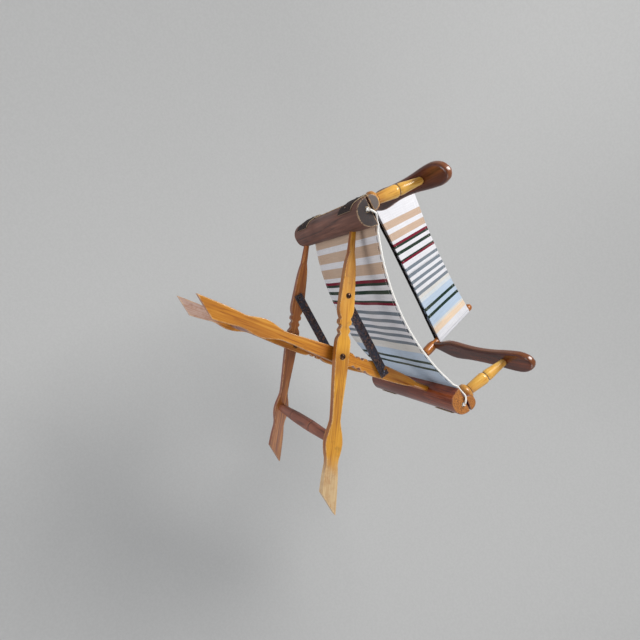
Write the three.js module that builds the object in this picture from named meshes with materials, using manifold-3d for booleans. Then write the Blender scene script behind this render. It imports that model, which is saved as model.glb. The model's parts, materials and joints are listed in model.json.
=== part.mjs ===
// A folding X-frame armchair with a striped sling seat, built as it comes apart on a bench.
// Millimetres, +Z up. The sitter faces -Y, and X runs from the chair's own right arm to its left one,
// so "left" and "right" below are as seen from the front. The chair stands on z = 0.
import * as THREE from "three";
import { mergeVertices } from "three/addons/utils/BufferGeometryUtils.js";
import Module from "manifold-3d";

const wasm = await Module();
wasm.setup();

// ---------------------------------------------------------------- driving dimensions
const HALF_OPEN = THREE.MathUtils.degToRad(51.2); // each leg's angle from the vertical when open
const LEG_SPAN = 326; // along a leg, from the pivot to the ground and from the pivot to the seat level
const LEG_THICK = 18;
const LEG_GAP = 10; // between an outer leg and the inner leg beside it
const OUTER_HALF = 177; // from the middle of the frame to the outer legs' outer faces, at the pivot
const SPLAY = 0.075; // how far a leg moves outward for each millimetre down its length
const EDGE = 1.5; // rounding of sawn wooden edges
const GAP = 0.3; // clearance between pieces that touch
const MIDDLE_Y = 48; // the frame's middle, so that the whole chair is centred on the origin

const PIVOT_Z = LEG_SPAN * Math.cos(HALF_OPEN);
const SEAT_Z = 2 * PIVOT_Z; // the flat top of the lower rails
const STRETCHER_AT = -188; // along a leg from the pivot
const STAY_BOLT_AT = 139;
const STAY_STUD_AT = 134;

const RAIL_X = 253.5; // middle of a lower rail's flat
const RAIL_HALF = 33;
const RAIL_DEEP = 38;
const RAIL_FRONT = -228;
const RAIL_REAR = 160;
const SEAM = 5; // between a lower rail's flat and the arm rail above it, where the sling lies
const ARM_RAIL_X = 269;
const ARM_RAIL_HALF = 19;
const ARM_RAIL_HIGH = 22;
const ROUNDNESS = 2 / 2.3; // exponent of the rails' half-round sections

const ARM_BOTTOM = 573;
const ARM_THICK = 19;
const ARM_EDGE = 6.5; // rounding of the armrests' edges
const SPINDLE_FOOT = new THREE.Vector3(269, -181, 440);
const SPINDLE_LEAN = new THREE.Vector3(-15, -28, 135).normalize();
const POST_FOOT = new THREE.Vector3(252, 72, 440);
const POST_LEAN = new THREE.Vector3(-0.1192, 0.0875, 1).normalize();

const BAND_BOTTOM = 601;
const BAND_TOP = 760;
const CLOTH = 1.6;
const SEAT_FRONT = -216;
const SEAT_REAR = 135;
const SEAT_SAG = 47;
const SEAT_THICK = 2;
const CORD_R = 2.6;
const CORD_HOLE_R = 5.4;
const KNOT_R = 4.9;

const Y_AXIS = new THREE.Vector3(0, 1, 0);

// ---------------------------------------------------------------- materials
const finish = (color, roughness, metalness = 0) => ({ color, roughness, metalness });
const GOLDEN_WOOD = finish(0xd09a48, 0.45);
const BROWN_WOOD = finish(0x6e4a3e, 0.6);
const RED_WOOD = finish(0x6a2c14, 0.35);
const DARK_ARM = finish(0x4a2012, 0.25);
const AMBER_WOOD = finish(0x9a5218, 0.35);
const IRON = finish(0x23242a, 0.6, 0.8);
const BRONZE = finish(0x5a4032, 0.4, 0.9);
const LEATHER = finish(0x35292a, 0.8);
const COTTON = finish(0xe4e0da, 0.95);
const STRIPED = finish(0xc9c4bc, 0.95);

// ---------------------------------------------------------------- solids
function solid(geometry) {
  const bare = geometry.clone();
  for (const name of Object.keys(bare.attributes)) {
    if (name !== "position") bare.deleteAttribute(name);
  }
  const closed = mergeVertices(bare, 1e-4);
  return new wasm.Manifold(
    new wasm.Mesh({
      numProp: 3,
      vertProperties: new Float32Array(closed.attributes.position.array),
      triVerts: new Uint32Array(closed.index.array),
    }),
  );
}

function geometryOf(shape) {
  const mesh = shape.getMesh();
  const geometry = new THREE.BufferGeometry();
  geometry.setAttribute("position", new THREE.BufferAttribute(mesh.vertProperties, 3));
  geometry.setIndex(new THREE.BufferAttribute(mesh.triVerts, 1));
  geometry.computeVertexNormals();
  return geometry;
}

const minus = (body, ...tools) =>
  geometryOf(tools.reduce((left, tool) => left.subtract(solid(tool)), solid(body)));
const joined = (first, ...more) =>
  geometryOf(more.reduce((sum, piece) => sum.add(solid(piece)), solid(first)));

function mirrored(geometry, x, y) {
  const copy = mergeVertices(geometry.clone().deleteAttribute("normal").deleteAttribute("uv"), 1e-5);
  copy.scale(x, y, 1);
  const index = copy.index.array;
  if (x * y < 0) {
    for (let i = 0; i < index.length; i += 3) [index[i], index[i + 1]] = [index[i + 1], index[i]];
  }
  copy.computeVertexNormals();
  return copy;
}

// A turned piece: [distance along the axis, radius] pairs from foot to top, along an axis from foot.
function turned(profile, foot, direction, grow = 0, sides = 20) {
  const first = profile[0];
  const last = profile[profile.length - 1];
  const outline = [
    new THREE.Vector2(0, first[0] - grow),
    ...profile.map(([along, radius], i) => {
      const end = i === 0 ? -grow : i === profile.length - 1 ? grow : 0;
      return new THREE.Vector2(radius + grow, along + end);
    }),
    new THREE.Vector2(0, last[0] + grow),
  ];
  const geometry = new THREE.LatheGeometry(outline, sides);
  geometry.applyQuaternion(
    new THREE.Quaternion().setFromUnitVectors(new THREE.Vector3(0, 1, 0), direction),
  );
  return geometry.translate(foot.x, foot.y, foot.z);
}

function box(low, high) {
  const size = high.map((value, i) => value - low[i]);
  const middle = high.map((value, i) => (value + low[i]) / 2);
  return new THREE.BoxGeometry(...size).translate(...middle);
}

// ---------------------------------------------------------------- legs
// side is -1 for the frame that carries the left rail and +1 for the one that carries the right rail.
function legDirection(side) {
  return new THREE.Vector3(side * Math.sin(HALF_OPEN), SPLAY, Math.cos(HALF_OPEN));
}

// A point of a front leg: along it from the pivot, across it, and back from the pivot's y.
function legPoint(side, along, middleY) {
  return legDirection(side).multiplyScalar(along).add(new THREE.Vector3(0, middleY, PIVOT_Z));
}

const LEG_FOOT = [
  [-372, 20], [-330, 19.4], [-284, 18], [-261, 16.4], [-236, 14], [-215, 18.4], [-193, 21],
  [-170, 17.2], [-147, 11], [-125, 11.2], [-102, 12.2], [-56, 15], [0, 17.5], [30, 17.6], [40, 16.2],
]; // [along the leg, half width]
const LEG_BEADS = [
  [51, 10.2], [59.5, 14.6], [66, 10.4], [69.5, 9.4], [72.5, 12.6], [74, 15.4], [82, 15.6], [84.5, 13.2],
  [87, 12.2],
];
const LEG_SHOULDER = [[92.5, 15.2], [102, 17.9], [116, 18.8], [148, 17], [194, 14.2], [222, 11], [244, 6]];
const STEM = [[196, 8.6], [218, 9.5], [240, 9.6], [265, 8.7], [290, 7.7], [308, 7.4]];

function legOutline() {
  const smooth = (points, steps) =>
    new THREE.SplineCurve(points.map(([v, w]) => new THREE.Vector2(w, v))).getPoints(steps);
  const side = [
    ...smooth(LEG_FOOT, 26),
    ...LEG_BEADS.map(([v, w]) => new THREE.Vector2(w, v)),
    ...smooth(LEG_SHOULDER, 12),
  ];
  const other = side.map((p) => new THREE.Vector2(-p.x, p.y)).reverse();
  return new THREE.Shape([...side, ...other]);
}

function frontLeg(side, middleY, ...holes) {
  const plate = new THREE.ExtrudeGeometry(legOutline(), {
    depth: LEG_THICK - 2 * EDGE,
    bevelSize: EDGE,
    bevelThickness: EDGE,
    bevelOffset: -EDGE,
    bevelSegments: 2,
    curveSegments: 1,
  });
  plate.translate(0, 0, EDGE - LEG_THICK / 2);
  const across = new THREE.Vector3(-side * Math.cos(HALF_OPEN), 0, Math.sin(HALF_OPEN));
  const through = new THREE.Vector3(0, side, 0);
  plate.applyMatrix4(new THREE.Matrix4().makeBasis(across, legDirection(side), through));
  plate.translate(0, middleY, PIVOT_Z);
  const leg = joined(plate, stem(side, middleY));
  return minus(leg, UNDERGROUND, ...holes);
}

const UNDERGROUND = box([-500, -400, -200], [500, 400, 0]);

const stem = (side, middleY, grow = 0) =>
  turned(STEM, legPoint(side, 0, middleY), legDirection(side).normalize(), grow, 20);

const OUTER_Y = -(OUTER_HALF - LEG_THICK / 2); // middles of the front legs at the pivot
const INNER_Y = OUTER_Y + LEG_THICK + LEG_GAP;

// ---------------------------------------------------------------- stretchers
const STRETCHER_TENON = { long: 11, radius: 7.5 };

// A bead stands a third of the way from the middle to each shoulder.
function stretcher(side, middleY, grow = 0) {
  const at = legPoint(side, STRETCHER_AT, middleY);
  const shoulder = -at.y - LEG_THICK / 2 - 1;
  const bead = shoulder / 3;
  const half = [
    [shoulder + STRETCHER_TENON.long, STRETCHER_TENON.radius], [shoulder, STRETCHER_TENON.radius],
    [shoulder - 0.5, 10.5], [shoulder - 30, 12.2], [bead + 6, 14.6], [bead + 1.6, 14.4], [bead, 12.6],
    [bead - 1.6, 14.6], [bead - 8, 15],
  ];
  const profile = [...half.map(([y, r]) => [-y, r]), ...half.reverse()];
  return turned(profile, new THREE.Vector3(at.x, 0, at.z), Y_AXIS, grow, 18);
}

// ---------------------------------------------------------------- rails
// Half-round section with its flat side on z = 0: bulge is -1 when it hangs below and +1 when above.
function halfRound(half, deep, bulge, spread = 0, from = 0, to = Math.PI, steps = 18) {
  return Array.from({ length: steps + 1 }, (_, i) => {
    const t = from + ((to - from) * i) / steps;
    const c = Math.cos(t);
    return new THREE.Vector2(
      Math.sign(c) * Math.abs(c) ** ROUNDNESS * (half + spread),
      bulge * Math.sin(t) ** ROUNDNESS * (deep + spread),
    );
  });
}

// Lays a section drawn in x and z along Y, between two y values.
function alongY(points, fromY, toY, edge) {
  const options = { depth: toY - fromY - 2 * edge, bevelEnabled: edge > 0, curveSegments: 1 };
  Object.assign(options, { bevelSize: edge, bevelThickness: edge, bevelOffset: -edge, bevelSegments: 2 });
  const geometry = new THREE.ExtrudeGeometry(new THREE.Shape(points), options);
  return geometry.rotateX(Math.PI / 2).translate(0, toY - edge, 0);
}

const CORD_HOLE = new THREE.Vector3(RAIL_X + 7.5, RAIL_FRONT, SEAT_Z - 9);
const CORD_HOLE_DEEP = 15;

function rightRail(middleY, ...cuts) {
  const rail = alongY(halfRound(RAIL_HALF, RAIL_DEEP, -1), RAIL_FRONT, RAIL_REAR, EDGE);
  rail.translate(RAIL_X, 0, SEAT_Z);
  const stems = [stem(1, middleY, GAP), mirrored(stem(1, middleY, GAP), 1, -1)];
  const cordHole = turned([[-1, CORD_HOLE_R], [CORD_HOLE_DEEP, CORD_HOLE_R]], CORD_HOLE, Y_AXIS);
  return minus(rail, ...stems, cordHole, ...cuts);
}

function rightArmRail(...cuts) {
  const rail = alongY(halfRound(ARM_RAIL_HALF, ARM_RAIL_HIGH, 1), RAIL_FRONT, RAIL_REAR, EDGE);
  rail.translate(ARM_RAIL_X, 0, SEAT_Z + SEAM);
  return minus(rail, ...cuts);
}

// ---------------------------------------------------------------- arm frame, right side
const SPINDLE = [
  [-14, 7], [-3, 7], [-2.6, 19], [4, 23], [12, 22.4], [17.5, 17.5], [18, 12.2], [21, 12.2], [22, 13],
  [45, 14.6], [66, 16], [71, 14.8], [74.5, 12.2], [78, 14.6], [86, 14.4], [105, 12], [125, 10],
  [135, 9.2], [135.4, 7], [147, 7],
];
const POST = [
  [-12, 7], [-3, 7], [-2.6, 16], [4, 19], [11, 18.4], [16.5, 14.5], [17, 10.4], [20, 10.4], [21, 11.4],
  [60, 13.2], [92, 12.2], [98, 10], [102, 13], [112, 14.8], [134, 15], [146, 12.6], [150, 9.8],
  [154, 10], [160, 9.6], [326, 9], [328, 11.4], [336, 11.6], [342, 8.4], [345.5, 3.5],
];
const spindle = (grow = 0) => turned(SPINDLE, SPINDLE_FOOT, SPINDLE_LEAN, grow);
const post = (grow = 0) => turned(POST, POST_FOOT, POST_LEAN, grow);

const postAt = (z) => POST_FOOT.clone().addScaledVector(POST_LEAN, (z - POST_FOOT.z) / POST_LEAN.z);

const ARM_PLAN = [
  [-292, 251, 14], [-283, 252, 21], [-267, 253, 26.8], [-248, 254, 28.6], [-215, 253.5, 27],
  [-180, 252.5, 23.5], [-140, 251, 21.3], [-100, 249, 21.4], [-66, 246.5, 23.2], [-28, 244, 27],
  [-2, 242, 26.6], [22, 240, 21.6], [48, 238, 14], [66, 236.5, 10], [80, 235.5, 8.4],
]; // [y, middle x, half width]
const ARM_TIP = -299;

function armrest() {
  const outer = ARM_PLAN.map(([y, x, half]) => new THREE.Vector2(x + half, y));
  const inner = ARM_PLAN.map(([y, x, half]) => new THREE.Vector2(x - half, y)).reverse();
  const tip = new THREE.Vector2(ARM_PLAN[0][1], ARM_TIP);
  const edge = new THREE.SplineCurve([...inner, tip, ...outer]).getPoints(46);
  const plate = new THREE.ExtrudeGeometry(new THREE.Shape(edge), {
    depth: ARM_THICK - 2 * ARM_EDGE,
    bevelSize: ARM_EDGE,
    bevelThickness: ARM_EDGE,
    bevelOffset: -ARM_EDGE,
    bevelSegments: 3,
    curveSegments: 1,
  });
  plate.translate(0, 0, ARM_BOTTOM + ARM_EDGE);
  return minus(joined(minus(plate, post(GAP)), armTenon()), spindle(GAP));
}

// The round tenon on the arm's neck that enters the back post's knob.
const ARM_TENON = { radius: 4.6, before: 24, past: 2 }; // before and past the post's axis

function armTenon(grow = 0) {
  const knob = postAt(ARM_BOTTOM + ARM_THICK / 2);
  const profile = [[-ARM_TENON.before, ARM_TENON.radius], [ARM_TENON.past, ARM_TENON.radius]];
  return turned(profile, knob, Y_AXIS, grow, 16);
}

// Half of the back band: a flat sleeve, closed round the post and cut off at the chair's middle.
const SLEEVE_R = 10.6;

function backBand() {
  const low = postAt(BAND_BOTTOM);
  const high = postAt(BAND_TOP);
  const reach = low.x + 60; // past the middle, where the cut is made
  const loop = (r) => {
    const shape = new THREE.Path();
    shape.moveTo(-reach, -r);
    shape.lineTo(0, -r);
    shape.absarc(0, 0, r, -Math.PI / 2, Math.PI / 2, false);
    shape.lineTo(-reach, r);
    return shape.getPoints(10);
  };
  const points = [...loop(SLEEVE_R + CLOTH), ...loop(SLEEVE_R).reverse()];
  const sleeve = new THREE.ExtrudeGeometry(new THREE.Shape(points), {
    depth: high.z - low.z,
    bevelEnabled: false,
  });
  const lean = new THREE.Matrix4().makeBasis(
    new THREE.Vector3(1, 0, 0),
    new THREE.Vector3(0, 1, 0),
    high.clone().sub(low).divideScalar(high.z - low.z),
  );
  sleeve.applyMatrix4(lean).translate(low.x, low.y, low.z);
  return minus(sleeve, box([-400, -400, 0], [GAP / 2, 400, 1000])); // all that lies past the middle
}

// ---------------------------------------------------------------- leather hinges, right side
const HINGES = { front: [-200, -134], rear: [62, 132] }; // y range of each strap
const LEAF_THICK = 2.4;
const LEAF_STEPS = 6;

function leaf(half, deep, bulge, from, to, [fromY, toY]) {
  const near = halfRound(half, deep, bulge, GAP, from, to, LEAF_STEPS);
  const far = halfRound(half, deep, bulge, GAP + LEAF_THICK, from, to, LEAF_STEPS);
  return alongY([...near, ...far.reverse()], fromY, toY, 0);
}

const LOWER_LEAF = { from: 0.03, to: 0.95, tack: 0.5 }; // angles round the section
const UPPER_LEAF = { from: 0.03, to: 0.82, tack: 0.4 };
const lowerLeaf = (range) =>
  leaf(RAIL_HALF, RAIL_DEEP, -1, LOWER_LEAF.from, LOWER_LEAF.to, range).translate(RAIL_X, 0, SEAT_Z);
const upperLeaf = (range) =>
  leaf(ARM_RAIL_HALF, ARM_RAIL_HIGH, 1, UPPER_LEAF.from, UPPER_LEAF.to, range)
    .translate(ARM_RAIL_X, 0, SEAT_Z + SEAM);

// A domed tack through a leaf into the wood; its foot is the point on the leaf's outer face.
const TACK = [[-9, 1], [GAP, 1], [GAP + 0.1, 3.6], [1.4, 3.2], [2.2, 1.6]];

function tack(half, deep, bulge, angle, x, z, [fromY, toY], grow = 0) {
  const step = 0.02; // either side of the angle, for the slope of the face there
  const [a, p, b] = [angle - step, angle, angle + step].map((t) => {
    return halfRound(half, deep, bulge, GAP + LEAF_THICK, t, t, 1)[0];
  });
  const outward = new THREE.Vector3(bulge * (b.y - a.y), 0, -bulge * (b.x - a.x)).normalize();
  const foot = new THREE.Vector3(x + p.x, (fromY + toY) / 2, z + p.y);
  return turned(TACK, foot, outward, grow, 8);
}

const lowerTack = (range, grow) =>
  tack(RAIL_HALF, RAIL_DEEP, -1, LOWER_LEAF.tack, RAIL_X, SEAT_Z, range, grow);
const upperTack = (range, grow) =>
  tack(ARM_RAIL_HALF, ARM_RAIL_HIGH, 1, UPPER_LEAF.tack, ARM_RAIL_X, SEAT_Z + SEAM, range, grow);

// ---------------------------------------------------------------- pivots and stays, front pair
const PIVOT = new THREE.Vector3(0, 0, PIVOT_Z);
const pivotAt = (y) => new THREE.Vector3(0, y, PIVOT_Z);
const PIVOT_R = 4;
const PIVOT_END = 8; // how far the bolt's end passes the inner leg
const NUT = { radius: 7.6, high: 5, off: 1.2 };
const SPACER = { radius: 10, off: 1.1 };

function pivotBolt(grow = 0) {
  const head = OUTER_Y - LEG_THICK / 2;
  const end = INNER_Y + LEG_THICK / 2 + PIVOT_END;
  const profile = [
    [head - 3.8, 2.4], [head - 2.8, 5.2], [head - 1, 7], [head, 7.2], [head + 0.1, PIVOT_R], [end, PIVOT_R],
  ];
  return turned(profile, PIVOT, Y_AXIS, grow, 16);
}

function pivotNut() {
  const face = INNER_Y + LEG_THICK / 2 + NUT.off;
  const nut = turned([[0, NUT.radius], [NUT.high, NUT.radius]], pivotAt(face), Y_AXIS, 0, 6);
  return minus(nut, pivotBolt(GAP));
}

function pivotSpacer() {
  const middle = (OUTER_Y + INNER_Y) / 2;
  const half = LEG_GAP / 2 - SPACER.off;
  const disc = turned([[-half, SPACER.radius], [half, SPACER.radius]], pivotAt(middle), Y_AXIS, 0, 16);
  return minus(disc, pivotBolt(GAP));
}

// The stays turn in the plane that holds both the outer leg's length and the level line across.
const STAY_TILT = SPLAY / Math.cos(HALF_OPEN);
const STAY_AXIS = new THREE.Vector3(0, 1, -STAY_TILT).normalize();
const STAY_WIDE = 24;
const STAY_THICK = 2.5;
const STAY_BACK = LEG_THICK / 2 + 1.6; // from the outer leg's middle plane to the stay's near face
const STAY_BOLT = legPoint(-1, STAY_BOLT_AT, OUTER_Y);
const STUD_R = 2.6;

const STAY_EYE = STAY_BOLT.clone().addScaledVector(STAY_AXIS, STAY_BACK);
const stayPlaneY = (z) => STAY_EYE.y + STAY_TILT * (z - STAY_EYE.z);
const STUD_FOOT = legPoint(1, STAY_STUD_AT, INNER_Y);

function stayBolt(grow = 0) {
  const head = -LEG_THICK / 2;
  const tail = STAY_BACK + STAY_THICK + GAP;
  const profile = [
    [head - 3.6, 2.2], [head - 2.6, 5], [head - 0.9, 6.5], [head, 6.6], [head + 0.1, 3], [tail + 2.8, 3],
  ];
  return turned(profile, STAY_BOLT, STAY_AXIS, grow, 14);
}

function stayNut() {
  const foot = STAY_BOLT.clone().addScaledVector(STAY_AXIS, STAY_BACK + STAY_THICK + GAP);
  return minus(turned([[0, 5.6], [2.2, 5.2]], foot, STAY_AXIS, 0, 16), stayBolt(GAP));
}

// The stud's shoulder stands off the inner leg, its neck passes the stay and its head holds it.
function stayStud(grow = 0) {
  const near = stayPlaneY(STUD_FOOT.z) - STUD_FOOT.y;
  const far = near + STAY_THICK;
  const face = -LEG_THICK / 2;
  const profile = [
    [near - 4.2, 2.4], [near - 2.7, 5.2], [near - 1.2, 5.8], [near - 1.1, STUD_R], [far + 1, STUD_R],
    [far + 1.1, 4.6], [face, 4.6], [face + 0.1, 3], [LEG_THICK / 2 - 3, 3],
  ];
  return turned(profile, STUD_FOOT, Y_AXIS, grow, 14);
}

const STAY_END = { atEye: 9, atMouth: 10 }; // how far the bar runs past its two pivots
const MOUTH_SLANT = THREE.MathUtils.degToRad(60);
const MOUTH_LONG = 40; // open past the bar's edge
const MOUTH_HALF = 3.5; // the notch's half width and the radius of its seat
const EYE_R = 3.3;

// A round hole through the stay, on its own z axis.
const stayHole = (radius, x) =>
  new THREE.CylinderGeometry(radius, radius, 3 * STAY_THICK, 20).rotateX(Math.PI / 2).translate(x, 0, 0);

function stay() {
  const start = STAY_EYE;
  const end = new THREE.Vector3(STUD_FOOT.x, stayPlaneY(STUD_FOOT.z), STUD_FOOT.z);
  const along = end.clone().sub(start);
  const length = along.length();
  along.normalize();
  const up = along.clone().cross(STAY_AXIS).normalize();
  const toBody = new THREE.Matrix4().makeBasis(along, up, STAY_AXIS.clone().negate());
  const half = STAY_WIDE / 2;
  const bar = box([-STAY_END.atEye, -half, -STAY_THICK], [length + STAY_END.atMouth, half, 0]);
  const mouth = new THREE.BoxGeometry(MOUTH_LONG, 2 * MOUTH_HALF, 3 * STAY_THICK);
  mouth.translate(MOUTH_LONG / 2, 0, 0).rotateZ(Math.PI - MOUTH_SLANT).translate(length, 0, 0);
  const plate = minus(bar, mouth, stayHole(MOUTH_HALF, length), stayHole(EYE_R, 0));
  return plate.applyMatrix4(toBody).translate(start.x, start.y, start.z);
}

// ---------------------------------------------------------------- sling seat and its cord
const INNER_EDGE = RAIL_X - RAIL_HALF;
const sagAt = (x) => -SEAT_SAG * (1 - (x / INNER_EDGE) ** 2);

const SEAT_STEPS = 20; // facets across the sag
const SEAT_INSET = 4; // from a rail's outer edge to the sling's end

function slingSeat() {
  const low = SEAT_Z + 2 * GAP;
  const end = RAIL_X + RAIL_HALF - SEAT_INSET;
  const turnIn = INNER_EDGE - 1;
  const hang = Array.from({ length: SEAT_STEPS + 1 }, (_, i) => {
    const x = -turnIn + (2 * turnIn * i) / SEAT_STEPS;
    return new THREE.Vector2(x, low + sagAt(x));
  });
  const flat = [end, INNER_EDGE + 1].map((x) => new THREE.Vector2(x, low));
  const farFlat = flat.map((p) => new THREE.Vector2(-p.x, p.y));
  const under = [...farFlat, ...hang, ...flat.reverse()];
  const over = under.map((p) => new THREE.Vector2(p.x, p.y + SEAT_THICK)).reverse();
  return alongY([...under, ...over], SEAT_FRONT, SEAT_REAR, 0);
}

// Chosen by hand: out of the hole in the rail's end, over the flat, and down with the hem.
const CORD_END = [
  [259, -233, 402], [252, -233, 408], [244, -230, 413.4], [230, -221, 413.4], [218, -219.5, 411.6],
  [209, -219, 405.2],
];

const HEM_REACH = 196; // from the middle to the last point of the cord along the hem
const HEM_STEPS = 8;
const HEM_RISE = 1.5; // the cord's axis over the rails' flats, before the sag

function edgeCord(grow = 0) {
  const hem = Array.from({ length: HEM_STEPS + 1 }, (_, i) => {
    const x = -HEM_REACH + (2 * HEM_REACH * i) / HEM_STEPS;
    return new THREE.Vector3(x, SEAT_FRONT - CORD_R - GAP, SEAT_Z + HEM_RISE + sagAt(x));
  });
  const right = CORD_END.map(([x, y, z]) => new THREE.Vector3(x, y, z)).reverse();
  const left = CORD_END.map(([x, y, z]) => new THREE.Vector3(-x, y, z));
  const route = new THREE.CatmullRomCurve3([...left, ...hem, ...right]);
  const octagon = new THREE.Shape(
    Array.from({ length: 8 }, (_, i) => {
      const turn = (i * Math.PI) / 4;
      return new THREE.Vector2(Math.cos(turn), Math.sin(turn)).multiplyScalar(CORD_R + grow);
    }),
  );
  return new THREE.ExtrudeGeometry(octagon, { steps: 44, extrudePath: route, bevelEnabled: false });
}

function rightKnot() {
  const ball = new THREE.SphereGeometry(KNOT_R, 12, 8);
  ball.translate(CORD_HOLE.x, CORD_HOLE.y - 1, CORD_HOLE.z);
  return minus(ball, edgeCord(GAP));
}

// ---------------------------------------------------------------- assembly
const chair = new THREE.Group();
chair.name = "folding_beach_chair";
chair.position.y = MIDDLE_Y;

function add(name, geometry, look) {
  const mesh = new THREE.Mesh(geometry, new THREE.MeshStandardMaterial(look));
  mesh.name = name;
  chair.add(mesh);
}

function addFrontRear(name, geometry, look) {
  add(name + "_front", geometry, look);
  add(name + "_rear", mirrored(geometry, 1, -1), look);
}

function addFrame(letter, side, middleY, woodLook, holes) {
  const cuts = [stretcher(side, middleY, GAP), ...holes];
  addFrontRear("leg_" + letter, frontLeg(side, middleY, ...cuts), GOLDEN_WOOD);
  add("stretcher_" + letter, stretcher(side, middleY), woodLook);
}

addFrame("a", -1, OUTER_Y, BROWN_WOOD, [pivotBolt(GAP), stayBolt(GAP)]);
addFrame("b", 1, INNER_Y, RED_WOOD, [pivotBolt(2 * GAP), stayStud(GAP)]);
addFrontRear("pivot_bolt", pivotBolt(), BRONZE);
addFrontRear("pivot_nut", pivotNut(), BRONZE);
addFrontRear("pivot_spacer", pivotSpacer(), BRONZE);
addFrontRear("stay_bolt", stayBolt(), BRONZE);
addFrontRear("stay_nut", stayNut(), IRON);
addFrontRear("stay_stud", stayStud(), IRON);
addFrontRear("stay", stay(), IRON);

const ranges = Object.entries(HINGES);
const lowerTackHoles = ranges.map(([, range]) => lowerTack(range, GAP));
const upperTackHoles = ranges.map(([, range]) => upperTack(range, GAP));
const railRight = rightRail(INNER_Y, ...lowerTackHoles);
const railLeft = mirrored(rightRail(OUTER_Y, ...lowerTackHoles), -1, 1);
add("rail_left", railLeft, BROWN_WOOD);
add("rail_right", railRight, RED_WOOD);

function addArmFrame(place, flip, railLook) {
  const put = (geometry) => (flip ? mirrored(geometry, -1, 1) : geometry);
  add("arm_rail_" + place, put(rightArmRail(spindle(GAP), post(GAP), ...upperTackHoles)), railLook);
  add("spindle_" + place, put(spindle()), GOLDEN_WOOD);
  add("back_post_" + place, put(minus(post(), armTenon(GAP))), AMBER_WOOD);
  add("armrest_" + place, put(armrest()), DARK_ARM);
  add("back_band_" + place, put(backBand()), STRIPED);
  add("cord_knot_" + place, put(rightKnot()), COTTON);
  for (const [end, range] of ranges) {
    add(`hinge_lower_${place}_${end}`, put(minus(lowerLeaf(range), lowerTack(range, GAP))), LEATHER);
    add(`hinge_upper_${place}_${end}`, put(minus(upperLeaf(range), upperTack(range, GAP))), LEATHER);
    add(`tack_lower_${place}_${end}`, put(lowerTack(range)), BRONZE);
    add(`tack_upper_${place}_${end}`, put(upperTack(range)), BRONZE);
  }
}

addArmFrame("left", true, BROWN_WOOD);
addArmFrame("right", false, RED_WOOD);
add("seat_sling", slingSeat(), STRIPED);
add("edge_cord", edgeCord(), COTTON);

export default chair;
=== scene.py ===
"""The looks of a folding X-frame beach chair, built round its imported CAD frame.

Metres, +Z up, in the same frame as the CAD. The sitter faces -Y, and "left" is the -X side.
"""

import json
import math

import bpy
import numpy as np
from mathutils import Matrix, Vector


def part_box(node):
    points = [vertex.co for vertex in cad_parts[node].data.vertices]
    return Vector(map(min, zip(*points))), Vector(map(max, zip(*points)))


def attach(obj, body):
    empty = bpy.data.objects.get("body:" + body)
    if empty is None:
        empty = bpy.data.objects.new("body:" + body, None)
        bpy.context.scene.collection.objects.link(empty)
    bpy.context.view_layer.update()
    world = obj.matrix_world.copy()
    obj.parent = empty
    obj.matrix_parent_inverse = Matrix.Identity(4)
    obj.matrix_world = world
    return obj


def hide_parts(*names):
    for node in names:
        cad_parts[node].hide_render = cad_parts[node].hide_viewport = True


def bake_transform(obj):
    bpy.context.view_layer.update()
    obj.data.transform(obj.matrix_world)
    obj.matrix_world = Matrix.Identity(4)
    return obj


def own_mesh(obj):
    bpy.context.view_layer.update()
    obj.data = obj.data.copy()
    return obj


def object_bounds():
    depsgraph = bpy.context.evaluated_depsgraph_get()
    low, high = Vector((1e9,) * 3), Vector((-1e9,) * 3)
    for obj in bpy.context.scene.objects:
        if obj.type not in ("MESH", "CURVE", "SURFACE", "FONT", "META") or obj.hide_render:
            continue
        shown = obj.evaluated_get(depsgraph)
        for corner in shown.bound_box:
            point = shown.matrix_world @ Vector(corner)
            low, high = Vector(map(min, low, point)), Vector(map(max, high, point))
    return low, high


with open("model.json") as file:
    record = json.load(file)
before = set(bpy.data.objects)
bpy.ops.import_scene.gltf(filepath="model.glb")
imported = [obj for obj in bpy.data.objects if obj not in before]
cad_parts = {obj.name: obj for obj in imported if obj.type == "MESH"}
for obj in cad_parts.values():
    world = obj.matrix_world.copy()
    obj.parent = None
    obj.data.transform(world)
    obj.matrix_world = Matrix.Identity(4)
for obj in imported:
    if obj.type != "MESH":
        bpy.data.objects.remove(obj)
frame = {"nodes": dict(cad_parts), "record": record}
CAD_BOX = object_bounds()
NODES = frame["nodes"]
MM = 0.001
SIDES = {"left": -1, "right": 1}

# ---------------------------------------------------------------- where the CAD parts are
LOW, HIGH = 0, 1
FLAT_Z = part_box("rail_left")[HIGH].z  # the flat top of the lower rails
ARM_RAIL_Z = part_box("arm_rail_left")[LOW].z
INNER_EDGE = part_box("rail_right")[LOW].x
RAIL_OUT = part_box("rail_right")[HIGH].x
RAIL_X = (INNER_EDGE + RAIL_OUT) / 2
ARM_RAIL_X = (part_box("arm_rail_right")[LOW].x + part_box("arm_rail_right")[HIGH].x) / 2
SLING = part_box("seat_sling")
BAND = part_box("back_band_right")
MIDDLE_Y = frame["record"]["behaviour"]["joints"][0]["pos_m"][1]  # of the crossed legs


# ---------------------------------------------------------------- node helpers
def srgb(red, green, blue):
    """A linear colour from 0-255 display values."""
    def linear(value):
        share = value / 255
        return share / 12.92 if share <= 0.04045 else ((share + 0.055) / 1.055) ** 2.4
    return (linear(red), linear(green), linear(blue), 1)


def feed(tree, node, inputs):
    """Links each input that is given a socket, and sets the others."""
    for key, value in inputs.items():
        if isinstance(value, bpy.types.NodeSocket):
            tree.links.new(value, node.inputs[key])
        else:
            node.inputs[key].default_value = value


def add_node(tree, kind, inputs=None, **settings):
    made = tree.nodes.new(kind)
    for key, value in settings.items():
        setattr(made, key, value)
    feed(tree, made, inputs or {})
    return made


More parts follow.
